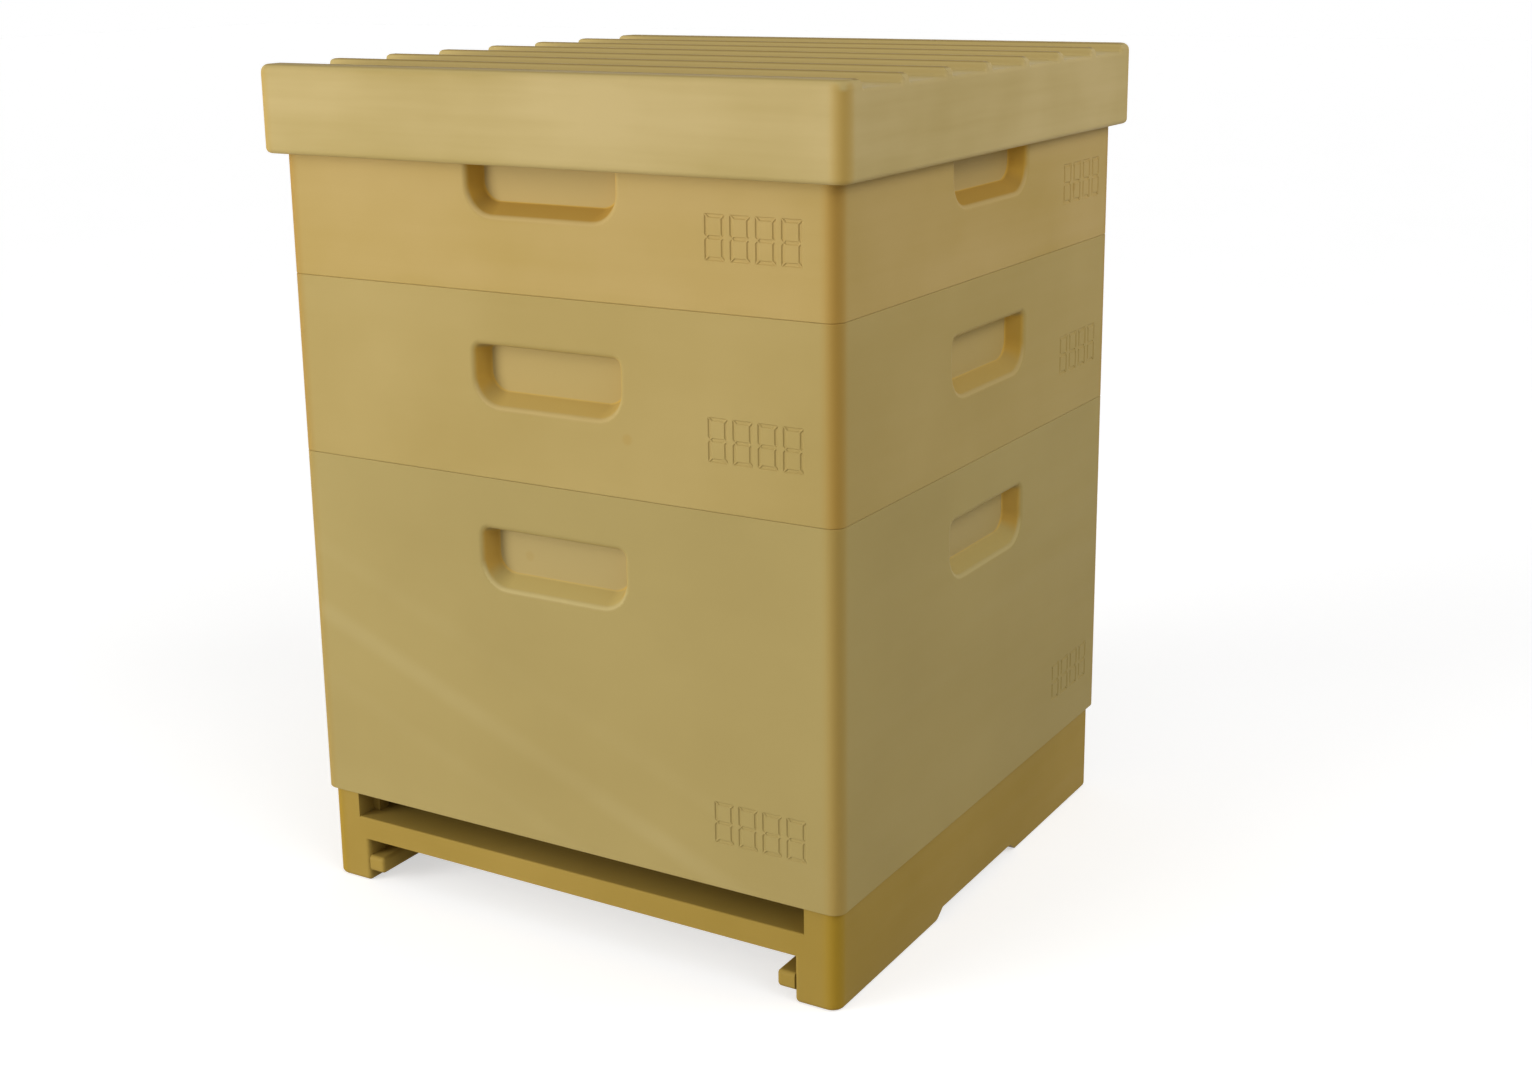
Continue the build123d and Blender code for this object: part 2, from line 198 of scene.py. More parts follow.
def linear(code):
    """A colour given as sRGB hex, as linear values."""
    parts = [int(code[place : place + 2], 16) / 255 for place in (1, 3, 5)]
    return (*[part / 12.92 if part <= 0.04045 else ((part + 0.055) / 1.055) ** 2.4 for part in parts], 1.0)


def add_node(tree, kind, inputs=None, **settings):
    """Adds a shader node with its settings. An input is a value, or an output to link to it."""
    node = tree.nodes.new(kind)
    for key, value in settings.items():
        setattr(node, key, value)
    for key, value in (inputs or {}).items():
        if isinstance(value, bpy.types.NodeSocket):
            tree.links.new(value, node.inputs[key])
        else:
            node.inputs[key].default_value = value
    return node


def new_material(name):
    """An empty material, its node tree and its shader."""
    material = bpy.data.materials.new(name)
    material.use_nodes = True
    tree = material.node_tree
    return material, tree, tree.nodes["Principled BSDF"]


def per_metre(millimetres):
    """The texture scale that gives a pattern of this size on Object coordinates."""
    return 1 / (millimetres * MM)


# Sockets of a mix of two colours, and of a mix of two numbers
FACTOR, FIRST, SECOND, MIXED = 0, 6, 7, 2
FIRST_NUMBER, SECOND_NUMBER = 2, 3

# A noise texture's values mostly lie between these, about the middle one.
NOISE_LOW, NOISE_MIDDLE, NOISE_HIGH = 0.3, 0.5, 0.7

# Hand holds: their place and size, and the depths below the face and the directions where their painted light
# lies.
# In each pair, here and below, a mask is 0 at the first value and full at the second.
TONGUE_HEIGHT = 6 * MM
HOLD_DROP = 43 * MM
HOLD_HEIGHT = 50 * MM
HOLD_LENGTH = 141 * MM
HOLD_DEPTH = 16.5 * MM
HOLD_BACKING = 4 * MM
HOLD_REACH = (HOLD_HEIGHT / 2 + 5 * MM, HOLD_HEIGHT / 2 + 3 * MM)
WALL_DEPTH = (0.1 * MM, 3.5 * MM)
HIGHLIGHT_DEPTH = (3.2 * MM, 1.2 * MM)
WALL_UPWARD = (-0.8, -0.3)
PAINTED_LIP_UPWARD = (0.3, 0.75)
HIGHLIGHT_UPWARD = (0.05, 0.25)
PAINTED_BACK_OUTWARD = (0.8, 0.99)
HIGHLIGHT_OUTWARD = (0.998, 0.93)


def painted_hold_light(tree, place, colour, node, bounce_wall_tone, painted_lip_tone, painted_back_tone, rim_highlight_tone):
    """Paints light and shade into the hand holds of a box: upright walls in warm painted bounce light, lips
    and backs in painted light and shade, and a painted highlight on the lower rims. The wall overhead keeps
    the skin's own colour."""
    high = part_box(node)[1]
    middle = high.z - TONGUE_HEIGHT - HOLD_DROP - HOLD_HEIGHT / 2
    split = add_node(tree, "ShaderNodeSeparateXYZ", {0: place}).outputs
    normal = add_node(tree, "ShaderNodeTexCoord").outputs["Normal"]
    facing = add_node(tree, "ShaderNodeSeparateXYZ", {0: normal}).outputs
    height = add_node(tree, "ShaderNodeMath", {0: split["Z"], 1: middle}, operation="SUBTRACT").outputs[0]
    across, along, sideways, endways, off_middle = [
        add_node(tree, "ShaderNodeMath", {0: value}, operation="ABSOLUTE").outputs[0]
        for value in (split["X"], split["Y"], facing["X"], facing["Y"], height)
    ]
    farther, nearer, on_side = [
        add_node(tree, "ShaderNodeMath", {0: across, 1: along}, operation=operation).outputs[0]
        for operation in ("MAXIMUM", "MINIMUM", "GREATER_THAN")
    ]
    depth = add_node(tree, "ShaderNodeMath", {0: high.x, 1: farther}, operation="SUBTRACT").outputs[0]
    # The way out of a hold is along X in the side faces, and along Y in the front and back.
    outward = add_node(
        tree,
        "ShaderNodeMix",
        {FACTOR: on_side, FIRST_NUMBER: endways, SECOND_NUMBER: sideways},
        data_type="FLOAT",
    ).outputs[0]
    masks = {}
    for name, value, (start, end), rise in (
        ("level", off_middle, HOLD_REACH, "LINEAR"),
        ("below_rim", depth, WALL_DEPTH, "SMOOTHSTEP"),
        ("not_overhead", facing["Z"], WALL_UPWARD, "LINEAR"),
        ("lip", facing["Z"], PAINTED_LIP_UPWARD, "SMOOTHSTEP"),
        ("back", outward, PAINTED_BACK_OUTWARD, "SMOOTHSTEP"),
        ("at_rim", depth, HIGHLIGHT_DEPTH, "LINEAR"),
        ("rounded", outward, HIGHLIGHT_OUTWARD, "SMOOTHSTEP"),
        ("lower", facing["Z"], HIGHLIGHT_UPWARD, "LINEAR"),
    ):
        masks[name] = add_node(
            tree,
            "ShaderNodeMapRange",
            {"Value": value, "From Min": start, "From Max": end},
            interpolation_type=rise,
        ).outputs[0]
    # The box's upright corners turn as deep as the rims, and its inside is deeper. Both stay as they are.
    for name, value, limit in (
        ("off_corners", nearer, HOLD_LENGTH),
        ("before_inside", depth, HOLD_DEPTH + HOLD_BACKING),
    ):
        masks[name] = add_node(tree, "ShaderNodeMath", {0: value, 1: limit}, operation="LESS_THAN").outputs[0]
    zones = []
    for names in (
        ("level", "off_corners", "below_rim", "before_inside", "not_overhead"),
        ("level", "off_corners", "at_rim", "rounded", "lower"),
    ):
        zone = masks[names[0]]
        for name in names[1:]:
            both = add_node(tree, "ShaderNodeMath", {0: zone, 1: masks[name]}, operation="MULTIPLY")
            zone = both.outputs[0]
        zones.append(zone)
    hold, rim_highlight = zones
    # Painted light: warm bounce light on the walls, light and shade on the lips and backs by which way they
    # face, and a highlight on the lower rims.
    hold_light_tone = linear(bounce_wall_tone)
    for mask, tone in ((masks["lip"], painted_lip_tone), (masks["back"], painted_back_tone)):
        hold_light_tone = add_node(
            tree,
            "ShaderNodeMix",
            {FACTOR: mask, FIRST: hold_light_tone, SECOND: linear(tone)},
            data_type="RGBA",
        ).outputs[MIXED]
    for mask, tone in ((hold, hold_light_tone), (rim_highlight, linear(rim_highlight_tone))):
        colour = add_node(
            tree, "ShaderNodeMix", {FACTOR: mask, FIRST: colour, SECOND: tone}, data_type="RGBA"
        ).outputs[MIXED]
    return colour


# Lid: the step of its ribs, the width of its front and back lips and the strength of their painted shade, and
# how far from its sides, top and ribs its painted shade lies
RIB_STEP = 72 * MM
RIB_WIDTH = (5 * MM, 3 * MM)
LIP_WIDTH = (27 * MM, 25 * MM)
LIP_SHADE = 0.5
EDGE_WIDTH = (0.3 * MM, 3.5 * MM)
TOP_DROP = (8.5 * MM, 6 * MM)
CROWN_DROP = (1.6 * MM, 0.4 * MM)


def lid_top_painted_shade(tree, place, colour, top_shade_tone, crest_shade_tone):
    """Paints shade on the lid's top: a little darker all over, and brown lines of painted shade along the
    ribs and the front and back lips.
    """
    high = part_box("lid")[1]
    split = add_node(tree, "ShaderNodeSeparateXYZ", {0: place}).outputs
    # Measured from the middle of a valley, a rib lies half a step away on either side.
    step = add_node(
        tree, "ShaderNodeMath", {0: split["Y"], 1: RIB_STEP / 2, 2: -RIB_STEP / 2}, operation="WRAP"
    ).outputs[0]
    across, along, off_valley = [
        add_node(tree, "ShaderNodeMath", {0: value}, operation="ABSOLUTE").outputs[0]
        for value in (split["X"], split["Y"], step)
    ]
    farther = add_node(tree, "ShaderNodeMath", {0: across, 1: along}, operation="MAXIMUM").outputs[0]
    masks = {}
    for name, value, limit, (start, end), most, rise in (
        ("inside", farther, high.x, EDGE_WIDTH, 1.0, "SMOOTHSTEP"),
        ("top", split["Z"], high.z, TOP_DROP, 1.0, "LINEAR"),
        ("rib", off_valley, RIB_STEP / 2, RIB_WIDTH, 1.0, "LINEAR"),
        ("lip", along, high.y, LIP_WIDTH, LIP_SHADE, "LINEAR"),
        ("crown", split["Z"], high.z, CROWN_DROP, 1.0, "LINEAR"),
    ):
        masks[name] = add_node(
            tree,
            "ShaderNodeMapRange",
            {"Value": value, "From Min": limit - start, "From Max": limit - end, "To Max": most},
            interpolation_type=rise,
        ).outputs[0]
    top, crest_shade = [
        add_node(tree, "ShaderNodeMath", {0: masks[first], 1: masks[second]}, operation=operation).outputs[0]
        for first, second, operation in (("inside", "top", "MULTIPLY"), ("rib", "lip", "MAXIMUM"))
    ]
    for limit in (masks["crown"], top):
        crest_shade = add_node(tree, "ShaderNodeMath", {0: crest_shade, 1: limit}, operation="MULTIPLY").outputs[0]
    # Painted shade: the top a little darker all over, and darker lines along the ribs and lips.
    for mask, tone in ((top, top_shade_tone), (crest_shade, crest_shade_tone)):
        colour = add_node(
            tree, "ShaderNodeMix", {FACTOR: mask, FIRST: colour, SECOND: linear(tone)}, data_type="RGBA"
        ).outputs[MIXED]
    return colour


# Painted sheen on the front of the brood box, as pale sloping bands: the slope of the bands, the height of
# the first one on the hive's axis, the step between bands, their width and strength, and how they fade
SHEEN_SLOPE = 0.4
SHEEN_HEIGHT = 151 * MM
SHEEN_STEP = 62 * MM
SHEEN_WIDTH = (15 * MM, 1 * MM)
SHEEN_FADE = (1.3 * SHEEN_STEP, 0.3 * SHEEN_STEP)
SHEEN_STRENGTH = 0.32
SHEEN_TONE = "#B7A676"
BREAK_CLOUDS = (0.55, 0.3)
BREAK_STRENGTH = 0.3
FACE_DEPTH = 0.2 * MM


def painted_sheen_bands(tree, place, colour, clouds):
    """Paints a faint sheen across the brood box's front, as pale bands that slope across it."""
    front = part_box("brood_box")[0].y
    split = add_node(tree, "ShaderNodeSeparateXYZ", {0: place}).outputs
    level = add_node(
        tree, "ShaderNodeMath", {0: split["X"], 1: SHEEN_SLOPE, 2: split["Z"]}, operation="MULTIPLY_ADD"
    ).outputs[0]
    height = add_node(tree, "ShaderNodeMath", {0: level, 1: SHEEN_HEIGHT}, operation="SUBTRACT").outputs[0]
    step = add_node(
        tree, "ShaderNodeMath", {0: height, 1: SHEEN_STEP / 2, 2: -SHEEN_STEP / 2}, operation="WRAP"
    ).outputs[0]
    off_band, off_first = [
        add_node(tree, "ShaderNodeMath", {0: value}, operation="ABSOLUTE").outputs[0]
        for value in (step, height)
    ]
    band = add_node(
        tree, "ShaderNodeMath", {0: split["Y"], 1: front + FACE_DEPTH}, operation="LESS_THAN"
    ).outputs[0]
    # The bands fade above and below the first one, and come and go along their length.
    for value, (start, end), least, most, rise in (
        (off_band, SHEEN_WIDTH, 0.0, SHEEN_STRENGTH, "SMOOTHSTEP"),
        (off_first, SHEEN_FADE, 0.0, 1.0, "LINEAR"),
        (clouds, BREAK_CLOUDS, BREAK_STRENGTH, 1.0, "LINEAR"),
    ):
        mask = add_node(
            tree,
            "ShaderNodeMapRange",
            {"Value": value, "From Min": start, "From Max": end, "To Min": least, "To Max": most},
            interpolation_type=rise,
        ).outputs[0]
        band = add_node(tree, "ShaderNodeMath", {0: band, 1: mask}, operation="MULTIPLY").outputs[0]
    # The pale bands are a painted sheen.
    marked = add_node(
        tree, "ShaderNodeMix", {FACTOR: band, FIRST: colour, SECOND: linear(SHEEN_TONE)}, data_type="RGBA"
    )
    return marked.outputs[MIXED]


# The foam skin's patterns, in millimetres. Its grain is finer than this, and is drawn so that it shows.
CLOUD_SIZE = 170
STREAK_LENGTH = 420
STREAK_WIDTH = 26
SINK_SPACING = 110
WAVE_LENGTH = 90
SKIN_GRAIN = 2.4

# Sink marks: their rim and middle as shares of their spacing, how brown they are, and how many cells have one
SINK_EDGE = (0.055, 0.025)
SINK_STRENGTH = 0.3
SINK_SHARE = 0.5

# The band of painted shade at a corner, the depth of the bumps, and the skin's gloss
CORNER_SHADE_BAND = (17 * MM, 3 * MM)
WAVE_DEPTH = 1.0 * MM
GRAIN_DEPTH = 0.08 * MM
SKIN_ROUGHNESS = (0.45, 0.55)
SKIN_SHEEN = 0.03


def moulded_foam(name, node, skin, shade, corner, painted_light_tones, streaky, seed):
    """Rigid polyurethane foam, moulded with its own dense skin: matt, softly cloudy where the foam rose, with
    a band of painted shade round the upright corners, faint sink spots, and painted light and shade in the
    hand holds and on the lid's top."""
    material, tree, shader = new_material(name)
    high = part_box(node)[1]
    place = add_node(tree, "ShaderNodeTexCoord").outputs["Object"]
    shifted = add_node(
        tree, "ShaderNodeMapping", {"Vector": place, "Location": (seed, 2 * seed, 3 * seed)}
    ).outputs[0]
    clouds = add_node(
        tree, "ShaderNodeTexNoise", {"Vector": shifted, "Scale": per_metre(CLOUD_SIZE), "Detail": 3.0}
    ).outputs["Fac"]
    streak_scale = (per_metre(STREAK_LENGTH), per_metre(STREAK_LENGTH), per_metre(STREAK_WIDTH))
    stretched = add_node(tree, "ShaderNodeMapping", {"Vector": shifted, "Scale": streak_scale}).outputs[0]
    streaks = add_node(
        tree, "ShaderNodeTexNoise", {"Vector": stretched, "Scale": 1.0, "Detail": 3.0, "Roughness": 0.6}
    ).outputs["Fac"]
    both = add_node(
        tree, "ShaderNodeMath", {0: streaks, 1: streaky, 2: clouds}, operation="MULTIPLY_ADD"
    ).outputs[0]
    offset = NOISE_MIDDLE * streaky
    cloudy = add_node(
        tree,
        "ShaderNodeMapRange",
        {"Value": both, "From Min": NOISE_LOW + offset, "From Max": NOISE_HIGH + offset},
    ).outputs[0]
    # The band of painted shade follows the rounding of the upright corners.
    split = add_node(tree, "ShaderNodeSeparateXYZ", {0: place}).outputs
    nearness = []
    for axis, reach in (("X", high.x), ("Y", high.y)):
        out = add_node(tree, "ShaderNodeMath", {0: split[axis]}, operation="ABSOLUTE").outputs[0]
        near = add_node(
            tree,
            "ShaderNodeMapRange",
            {"Value": out, "From Min": reach - CORNER_SHADE_BAND[0], "From Max": reach - CORNER_SHADE_BAND[1]},
            interpolation_type="SMOOTHSTEP",
        )
        nearness.append(near.outputs[0])
    band = add_node(tree, "ShaderNodeMath", {0: nearness[0], 1: nearness[1]}, operation="MULTIPLY").outputs[0]
    colour = linear(skin)
    for mask, tone in ((cloudy, shade), (band, corner)):
        colour = add_node(
            tree, "ShaderNodeMix", {FACTOR: mask, FIRST: colour, SECOND: linear(tone)}, data_type="RGBA"
        ).outputs[MIXED]
    if node == "lid":
        colour = lid_top_painted_shade(tree, place, colour, *painted_light_tones)
    elif painted_light_tones:
        colour = painted_hold_light(tree, place, colour, node, *painted_light_tones)
    if node == "brood_box":
        colour = painted_sheen_bands(tree, place, colour, clouds)
    # A sink mark is a soft round spot about 10 mm across, and few of them come out at the surface.
    cells = add_node(
        tree, "ShaderNodeTexVoronoi", {"Vector": shifted, "Scale": per_metre(SINK_SPACING)}, feature="F1"
    )
    spot = add_node(
        tree,
        "ShaderNodeMapRange",
        {
            "Value": cells.outputs["Distance"],
            "From Min": SINK_EDGE[0],
            "From Max": SINK_EDGE[1],
            "To Max": SINK_STRENGTH,
        },
        interpolation_type="SMOOTHSTEP",
    ).outputs[0]
    chance = add_node(tree, "ShaderNodeSeparateColor", {0: cells.outputs["Color"]}).outputs[0]
    chosen = add_node(tree, "ShaderNodeMath", {0: chance, 1: SINK_SHARE}, operation="LESS_THAN").outputs[0]
    sinks = add_node(tree, "ShaderNodeMath", {0: spot, 1: chosen}, operation="MULTIPLY").outputs[0]
    sunken = add_node(
        tree, "ShaderNodeMix", {FACTOR: sinks, FIRST: colour, SECOND: linear(corner)}, data_type="RGBA"
    )
    gloss = add_node(
        tree,
        "ShaderNodeMapRange",
        {
            "Value": streaks,
            "From Min": NOISE_LOW,
            "From Max": NOISE_HIGH,
            "To Min": SKIN_ROUGHNESS[0],
            "To Max": SKIN_ROUGHNESS[1],
        },
    )
    waves = add_node(
        tree, "ShaderNodeTexNoise", {"Vector": shifted, "Scale": per_metre(WAVE_LENGTH), "Detail": 1.0}
    ).outputs["Fac"]
    wavy = add_node(
        tree, "ShaderNodeBump", {"Height": waves, "Strength": 0.5, "Distance": WAVE_DEPTH}
    ).outputs[0]
    grain = add_node(
        tree, "ShaderNodeTexNoise", {"Vector": place, "Scale": per_metre(SKIN_GRAIN), "Detail": 2.0}
    ).outputs["Fac"]
    grainy = add_node(
        tree, "ShaderNodeBump", {"Height": grain, "Strength": 0.25, "Distance": GRAIN_DEPTH, "Normal": wavy}
    )
    tree.links.new(sunken.outputs[MIXED], shader.inputs["Base Color"])
    tree.links.new(gloss.outputs[0], shader.inputs["Roughness"])
    tree.links.new(grainy.outputs[0], shader.inputs["Normal"])
    shader.inputs["IOR"].default_value = 1.5
    shader.inputs["Specular IOR Level"].default_value = SKIN_SHEEN
    return material


# Limewood's patterns, in millimetres, and how deep its flecks are
RING_LENGTH = 240
RING_WIDTH = 9
FLECK_LENGTH = 30
FLECK_WIDTH = 1.6
FLECK_DEPTH = 0.15 * MM


def planed_limewood():
    """Planed limewood: pale and fine, with long soft grain along each bar and short darker flecks."""
    material, tree, shader = new_material("planed_limewood")
    place = add_node(tree, "ShaderNodeAttribute", attribute_name="grain").outputs["Vector"]
    rings, flecks = [
        add_node(
            tree,
            "ShaderNodeMapping",
            {"Vector": place, "Scale": (per_metre(width), per_metre(length), per_metre(width))},
        ).outputs[0]
        for length, width in ((RING_LENGTH, RING_WIDTH), (FLECK_LENGTH, FLECK_WIDTH))
    ]
    ringed = add_node(
        tree,
        "ShaderNodeTexNoise",
        {"Vector": rings, "Scale": 1.0, "Detail": 5.0, "Roughness": 0.6, "Distortion": 0.4},
    ).outputs["Fac"]
    flecked = add_node(
        tree, "ShaderNodeTexNoise", {"Vector": flecks, "Scale": 1.0, "Detail": 2.0}
    ).outputs["Fac"]
    colour = linear("#DFC59A")
    for value, start, end, most, tone in (
        (ringed, 0.35, 0.65, 1.0, "#C6A273"),
        (flecked, 0.56, 0.72, 0.5, "#A98355"),
    ):
        mask = add_node(
            tree, "ShaderNodeMapRange", {"Value": value, "From Min": start, "From Max": end, "To Max": most}
        )
        colour = add_node(
            tree,
            "ShaderNodeMix",
            {FACTOR: mask.outputs[0], FIRST: colour, SECOND: linear(tone)},
            data_type="RGBA",
        ).outputs[MIXED]
    relief = add_node(tree, "ShaderNodeBump", {"Height": flecked, "Strength": 0.35, "Distance": FLECK_DEPTH})
    tree.links.new(colour, shader.inputs["Base Color"])
    tree.links.new(relief.outputs[0], shader.inputs["Normal"])
    shader.inputs["Roughness"].default_value = 0.62
    return material


# Wax cells: their width and depth, and the patches of colour in millimetres
CELL_WIDTH = 5.4 * MM
CELL_DEPTH = 0.8 * MM
WAX_PATCH = 60


def rolled_beeswax():
    """Beeswax rolled into foundation: warm yellow and waxy, pressed with six-sided cells 5.4 mm across."""
    row = CELL_WIDTH * math.sqrt(3)
    material, tree, shader = new_material("rolled_beeswax")
    place = add_node(tree, "ShaderNodeTexCoord").outputs["Object"]
    split = add_node(tree, "ShaderNodeSeparateXYZ", {0: place}).outputs
    # The cells' middles lie on two crossed lattices, and the nearer middle is the cell's own.
    reaches = []
    for shift in (0.0, 0.5):
        squares = []
        for axis, step in (("Y", CELL_WIDTH), ("Z", row)):
            moved = add_node(tree, "ShaderNodeMath", {0: split[axis], 1: shift * step}, operation="ADD")
            inside = add_node(
                tree, "ShaderNodeMath", {0: moved.outputs[0], 1: step / 2, 2: -step / 2}, operation="WRAP"
            )
            square = add_node(tree, "ShaderNodeMath", {0: inside.outputs[0], 1: 2.0}, operation="POWER")
            squares.append(square.outputs[0])
        reach = add_node(tree, "ShaderNodeMath", {0: squares[0], 1: squares[1]}, operation="ADD")
        reaches.append(reach.outputs[0])
    nearest = add_node(tree, "ShaderNodeMath", {0: reaches[0], 1: reaches[1]}, operation="MINIMUM").outputs[0]
    distance = add_node(tree, "ShaderNodeMath", {0: nearest}, operation="SQRT").outputs[0]
    wall = add_node(
        tree,
        "ShaderNodeMapRange",
        {"Value": distance, "From Min": 0.3 * CELL_WIDTH, "From Max": 0.5 * CELL_WIDTH},
        interpolation_type="SMOOTHSTEP",
    ).outputs[0]
    patches = add_node(
        tree, "ShaderNodeTexNoise", {"Vector": place, "Scale": per_metre(WAX_PATCH), "Detail": 3.0}
    ).outputs["Fac"]
    # The middle of each cell is painted darker, as painted shade in its hollow.
    pressed = add_node(tree, "ShaderNodeMapRange", {"Value": wall, "To Min": 0.45, "To Max": 0.0}).outputs[0]
    colour = linear("#E3B04B")
    for mask, tone in ((patches, "#D29A38"), (pressed, "#B97A22")):
        colour = add_node(
            tree, "ShaderNodeMix", {FACTOR: mask, FIRST: colour, SECOND: linear(tone)}, data_type="RGBA"
        ).outputs[MIXED]
    relief = add_node(tree, "ShaderNodeBump", {"Height": wall, "Strength": 0.8, "Distance": CELL_DEPTH})
    tree.links.new(colour, shader.inputs["Base Color"])
    tree.links.new(relief.outputs[0], shader.inputs["Normal"])
    shader.inputs["Roughness"].default_value = 0.42
    shader.inputs["IOR"].default_value = 1.44
    return material


# Metal: the size of its stains in millimetres, the depth of its lines, and how far they change its gloss
STAIN_SIZE = 45
LINE_DEPTH = 0.05 * MM
LINE_GLOSS = (-0.08, 0.1)


def drawn_metal(name, colour, shade, roughness, length, width):
    """Metal drawn or rolled along one way: faintly stained, with fine bright lines of this length along X and
    Y, and this width, in millimetres. Real lines are finer, and these are drawn so that they show."""
    material, tree, shader = new_material(name)
    place = add_node(tree, "ShaderNodeTexCoord").outputs["Object"]
    line_scale = (per_metre(length[0]), per_metre(length[1]), per_metre(width))
    stretched = add_node(tree, "ShaderNodeMapping", {"Vector": place, "Scale": line_scale}).outputs[0]
    lines = add_node(
        tree, "ShaderNodeTexNoise", {"Vector": stretched, "Scale": 1.0, "Detail": 4.0}
    ).outputs["Fac"]
    stains = add_node(
        tree, "ShaderNodeTexNoise", {"Vector": place, "Scale": per_metre(STAIN_SIZE), "Detail": 3.0}
    ).outputs["Fac"]
    tint = add_node(
        tree,
        "ShaderNodeMix",
        {FACTOR: stains, FIRST: linear(colour), SECOND: linear(shade)},
        data_type="RGBA",
    )
    gloss = add_node(
        tree,
        "ShaderNodeMapRange",
        {
            "Value": lines,
            "From Min": NOISE_LOW,
            "From Max": NOISE_HIGH,
            "To Min": roughness + LINE_GLOSS[0],
            "To Max": roughness + LINE_GLOSS[1],
        },
    )
    relief = add_node(tree, "ShaderNodeBump", {"Height": lines, "Strength": 0.2, "Distance": LINE_DEPTH})
    tree.links.new(tint.outputs[MIXED], shader.inputs["Base Color"])
    tree.links.new(gloss.outputs[0], shader.inputs["Roughness"])
    tree.links.new(relief.outputs[0], shader.inputs["Normal"])
    shader.inputs["Metallic"].default_value = 1.0
    return material


# The foam is palest at the lid and grows darker down to the floor. Its painted light tones are, for the lid,
# the painted shade of its top and crests, and for a box, its hand holds' walls in painted bounce light, their
# lips and backs in painted light and shade, and their painted rim highlight. The corner colour is the band of
# painted shade at the upright corners, and the sink marks take it too.
FOAMS = {
    "lid": moulded_foam(
        "lid_foam_skin",
        "lid",
        skin="#BDA873",
        shade="#AE9960",
        corner="#B69751",
        painted_light_tones=("#BBA66C", "#947E48"),
        streaky=0.6,
        seed=1.3,
    ),
    "super_2_box": moulded_foam(
        "upper_super_foam_skin",
        "super_2_box",
        skin="#B69C62",
        shade="#AD9354",
        corner="#AA8641",
        painted_light_tones=("#CAA044", "#B08C41", "#B69D63", "#B89E64"),
        streaky=0.25,
        seed=2.1,
    ),
    "super_1_box": moulded_foam(
        "lower_super_foam_skin",
        "super_1_box",
        skin="#AD975E",
        shade="#A69056",
        corner="#A68440",
        painted_light_tones=("#C29C46", "#B49854", "#AF985F", "#B39C64"),
        streaky=0.15,
        seed=3.7,
    ),
    "brood_box": moulded_foam(
        "brood_foam_skin",
        "brood_box",
        skin="#A6935C",
        shade="#A08D57",
        corner="#A38849",
        painted_light_tones=("#BE9A4A", "#B39E60", "#AA9662", "#B3A16B"),
        streaky=0.1,
        seed=4.9,
    ),
    "floor_body": moulded_foam(
        "floor_foam_skin",
        "floor_body",
        skin="#A38843",
        shade="#997F3A",
        corner="#A08029",
        painted_light_tones=(),
        streaky=0.15,
        seed=6.2,
    ),
}
LIMEWOOD = planed_limewood()
BEESWAX = rolled_beeswax()
# Drawn stainless wire: bright and neutral.
STAINLESS_WIRE = drawn_metal(
    "drawn_stainless_wire", "#BFC0BE", "#A9AAA8", roughness=0.3, length=(60, 60), width=0.5
)
# Galvanised wire: bluer, darker and less sharp in its reflections.
EXCLUDER_STEEL = drawn_metal(
    "galvanised_excluder_wire", "#B7B9BA", "#9FA2A4", roughness=0.36, length=(80, 80), width=0.6
)
# Stainless strip, folded into rails: bright, with its rolling lines along the rail.
REST_STEEL = drawn_metal(
    "folded_stainless_strip", "#C2C3C1", "#B0B1AF", roughness=0.3, length=(90, 2), width=0.4
)
# Aluminium as the mill leaves it: the palest of the metals, and satin.
STRIP_ALUMINIUM = drawn_metal(
    "mill_aluminium_strip", "#CDCFD0", "#BABCBE", roughness=0.38, length=(70, 70), width=0.5
)
# Zinc plate: bright, with a faint yellow cast.
SCREW_ZINC = drawn_metal(
    "zinc_plated_screw", "#C6C7C2", "#B4B4A6", roughness=0.3, length=(3, 3), width=0.4
)


def finish_node(node, material):
    """Gives a node that keeps its shape a better finish."""
    for material_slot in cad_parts[node].material_slots:
        material_slot.material = material


for node, foam in FOAMS.items():
    finish_node(node, foam)
for side in ("front", "back", "left", "right"):
    finish_node(f"mesh_strip_{side}", STRIP_ALUMINIUM)
for name in BOXES:
    for side in ("front", "back"):
        finish_node(f"{name}_rest_{side}", REST_STEEL)
finish_node("excluder_rim", EXCLUDER_STEEL)


# Frames

TOP_BAR_WIDTH = 28 * MM
TOP_BAR_THICKNESS = 20 * MM
LUG_WIDTH = 22 * MM
LUG_THICKNESS = 10 * MM
SIDE_BAR_THICKNESS = 10 * MM
SIDE_BAR_WIDTH = 25 * MM
SPACER_WIDTH = 36.5 * MM
SPACER_HEIGHT = 85 * MM
SPACER_SLOPE = 12 * MM
FORK_DROP = 4 * MM
BOTTOM_BAR_THICKNESS = 10 * MM
FRAME_LENGTH = 448 * MM
EASED_EDGE = 0.8 * MM

# How far the wood's pattern moves from one frame to the next, so that no two are alike
NEXT_FRAME = Vector((0.53, 1.7, 0.29))


def set_grain(piece, along, shift):
    """Stores each point's place in its own plank: across, along the grain and across again."""
    first, second, third = {"Y": (0, 1, 2), "Z": (0, 2, 1)}[along]
    values = []
    for point in piece.data.vertices:
        values += [point.co[first] + shift, point.co[second] + 3 * shift, point.co[third] + 2 * shift]
    layer = piece.data.attributes.new("grain", "FLOAT_VECTOR", "POINT")
    layer.data.foreach_set("vector", values)


